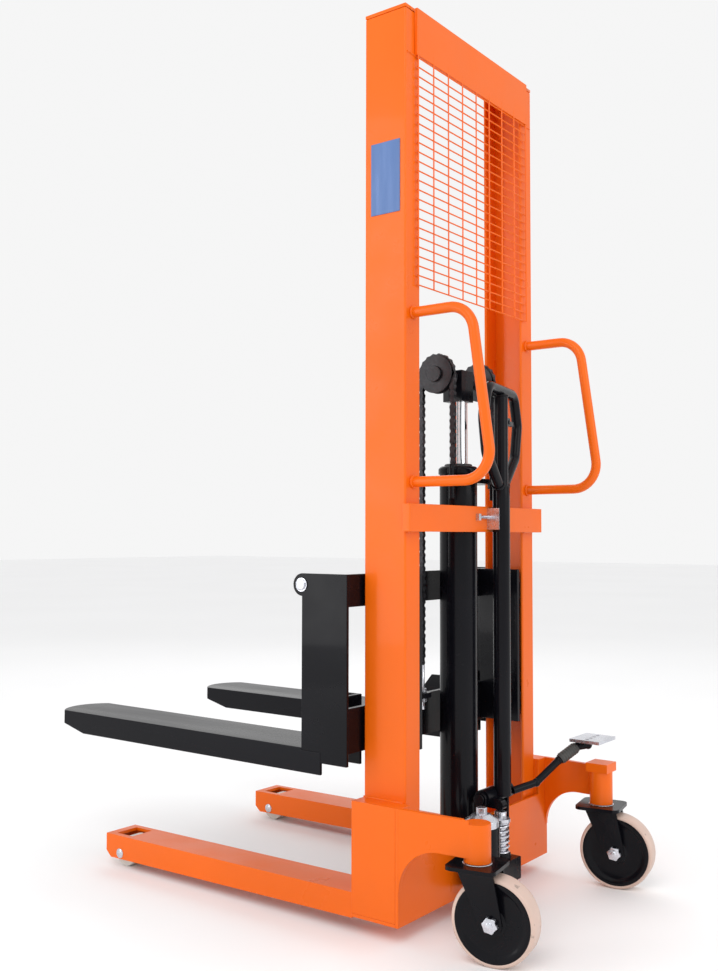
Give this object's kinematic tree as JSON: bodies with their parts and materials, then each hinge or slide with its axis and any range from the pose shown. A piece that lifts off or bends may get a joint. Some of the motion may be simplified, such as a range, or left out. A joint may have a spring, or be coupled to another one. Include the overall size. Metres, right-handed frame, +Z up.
{
  "type": "walkie stacker",
  "caption": "Hand-pumped walkie stacker: a forked carriage climbs a mast on chains, over straddle legs, with swivel casters, tiller and foot pedal.",
  "frame": {"origin": "on the ground, at the middle of the whole machine's box", "axes": "+Z up, +Y forward from the operator to the fork tips, +X to the operator's right"},
  "size_m": [0.7324, 1.4614, 2.08],
  "materials": {
    "orange_paint": "gloss",
    "black_paint": "gloss",
    "zinc_plate": "satin",
    "chain_steel": "satin",
    "roller_steel": "satin",
    "rod_chrome": "polished",
    "blue_plate": "satin",
    "nylon": "satin",
    "tread": "satin",
    "grip_plastic": "matte"
  },
  "bodies": {
    "frame": {"mast_post_left": "orange_paint", "mast_post_right": "orange_paint", "mast_top_beam": "orange_paint", "guard_mesh": "orange_paint", "grab_handle_left": "orange_paint", "grab_handle_right": "orange_paint", "tie_plate": "orange_paint", "cylinder_saddle": "orange_paint", "base_side_left": "orange_paint", "base_side_right": "orange_paint", "base_floor": "orange_paint", "base_rear_panel": "orange_paint", "leg_left": "orange_paint", "leg_right": "orange_paint", "wing_left": "orange_paint", "wing_right": "orange_paint", "stem_housings": "orange_paint", "load_roller_axles": "zinc_plate", "tiller_clip": "zinc_plate", "blank_plate": "blue_plate", "lift_cylinder": "black_paint", "cylinder_head": "black_paint", "rear_chain_anchors": "black_paint", "rear_chain_falls": "chain_steel", "pump_body": "black_paint", "release_valve": "zinc_plate", "pump_spring": "zinc_plate", "pivot_bracket": "black_paint"},
    "rod": {"piston_rod": "rod_chrome", "crosshead": "black_paint", "pulley_shaft": "zinc_plate", "chain_wraps": "chain_steel"},
    "pulley_left": {"pulley_left": "chain_steel"},
    "pulley_right": {"pulley_right": "chain_steel"},
    "carriage": {"roller_plate_left": "black_paint", "roller_plate_right": "black_paint", "carriage_side_left": "black_paint", "carriage_side_right": "black_paint", "carriage_top_plate": "black_paint", "carriage_beam": "black_paint", "fork_left": "black_paint", "fork_right": "black_paint", "front_chain_anchors": "zinc_plate", "front_chain_falls": "chain_steel"},
    "load_roller_left": {"load_roller_left": "nylon"},
    "load_roller_right": {"load_roller_right": "nylon"},
    "caster_left": {"caster_fork_left": "black_paint"},
    "caster_right": {"caster_fork_right": "black_paint"},
    "wheel_left": {"caster_wheel_left": "tread"},
    "wheel_right": {"caster_wheel_right": "tread"},
    "tiller": {"tiller_shaft": "black_paint", "tiller_loop": "black_paint"},
    "release_lever": {"release_lever": "grip_plastic"},
    "pump_piston": {"pump_piston": "zinc_plate"},
    "pedal": {"foot_pedal": "black_paint", "pedal_pad": "zinc_plate"},
    "guide_roller_upper_left": {"guide_roller_upper_left": "roller_steel"},
    "guide_roller_upper_right": {"guide_roller_upper_right": "roller_steel"},
    "guide_roller_lower_left": {"guide_roller_lower_left": "roller_steel"},
    "guide_roller_lower_right": {"guide_roller_lower_right": "roller_steel"}
  },
  "joints": [
    {"name": "rod_slide", "type": "slide", "parent": "frame", "child": "rod", "axis": [0, 0, 1], "range_m": [-0.1455, 0.6045], "deforming": ["rear_chain_falls"]},
    {"name": "carriage_slide", "type": "slide", "parent": "rod", "child": "carriage", "axis": [0, 0, 1], "range_m": [-0.1455, 0.6045], "deforming": ["front_chain_falls"]},
    {"name": "pulley_spin_left", "type": "hinge", "parent": "rod", "child": "pulley_left", "pos_m": [-0.095, -0.36632, 1.262], "axis": [1, 0, 0], "range_deg": [-190, 787.7]},
    {"name": "pulley_spin_right", "type": "hinge", "parent": "rod", "child": "pulley_right", "pos_m": [0.095, -0.36632, 1.262], "axis": [1, 0, 0], "range_deg": [-190, 787.7]},
    {"name": "guide_roller_upper_left_spin", "type": "hinge", "parent": "carriage", "child": "guide_roller_upper_left", "pos_m": [-0.268, -0.35682, 0.736], "axis": [1, 0, 0], "continuous": true},
    {"name": "guide_roller_upper_right_spin", "type": "hinge", "parent": "carriage", "child": "guide_roller_upper_right", "pos_m": [0.268, -0.35682, 0.736], "axis": [1, 0, 0], "continuous": true},
    {"name": "guide_roller_lower_left_spin", "type": "hinge", "parent": "carriage", "child": "guide_roller_lower_left", "pos_m": [-0.268, -0.35682, 0.446], "axis": [1, 0, 0], "continuous": true},
    {"name": "guide_roller_lower_right_spin", "type": "hinge", "parent": "carriage", "child": "guide_roller_lower_right", "pos_m": [0.268, -0.35682, 0.446], "axis": [1, 0, 0], "continuous": true},
    {"name": "load_roller_left_spin", "type": "hinge", "parent": "frame", "child": "load_roller_left", "pos_m": [-0.2925, 0.46868, 0.037], "axis": [1, 0, 0], "continuous": true},
    {"name": "load_roller_right_spin", "type": "hinge", "parent": "frame", "child": "load_roller_right", "pos_m": [0.2925, 0.46868, 0.037], "axis": [1, 0, 0], "continuous": true},
    {"name": "caster_left_swivel", "type": "hinge", "parent": "frame", "child": "caster_left", "pos_m": [-0.305, -0.59832, 0.242], "axis": [0, 0, 1], "continuous": true},
    {"name": "wheel_left_spin", "type": "hinge", "parent": "caster_left", "child": "wheel_left", "pos_m": [-0.29805, -0.63771, 0.09], "axis": [0.9848, 0.1736, 0], "continuous": true},
    {"name": "caster_right_swivel", "type": "hinge", "parent": "frame", "child": "caster_right", "pos_m": [0.305, -0.59832, 0.242], "axis": [0, 0, 1], "continuous": true},
    {"name": "wheel_right_spin", "type": "hinge", "parent": "caster_right", "child": "wheel_right", "pos_m": [0.31195, -0.63771, 0.09], "axis": [0.9848, 0.1736, 0], "continuous": true},
    {"name": "tiller_swing", "type": "hinge", "parent": "frame", "child": "tiller", "pos_m": [0.05, -0.43732, 0.25], "axis": [1, 0, 0], "range_deg": [0, 75], "stiffness_Nm_per_rad": 40, "springref_deg": -28.65},
    {"name": "pump_stroke", "type": "slide", "parent": "frame", "child": "pump_piston", "axis": [0, 0, 1], "range_m": [-0.042, 0], "deforming": ["pump_spring"]},
    {"name": "pedal_swing", "type": "hinge", "parent": "frame", "child": "pedal", "pos_m": [0.1, -0.43732, 0.25], "axis": [1, 0, 0], "range_deg": [0, 13], "stiffness_Nm_per_rad": 20, "springref_deg": -20.05},
    {"name": "release_lever_pull", "type": "hinge", "parent": "tiller", "child": "release_lever", "pos_m": [0.08228, -0.45146, 1.156], "axis": [0.2079, -0.9781, 0], "range_deg": [0, 12], "stiffness_Nm_per_rad": 0.6, "springref_deg": -17.19}
  ],
  "couplings": [
    {"joint": "carriage_slide", "follows": "rod_slide", "ratio": 1},
    {"joint": "pulley_spin_left", "follows": "rod_slide", "rad_per_m": 22.727},
    {"joint": "pulley_spin_right", "follows": "rod_slide", "rad_per_m": 22.727},
    {"joint": "pump_stroke", "follows": "tiller_swing", "m_per_rad": -0.032}
  ]
}
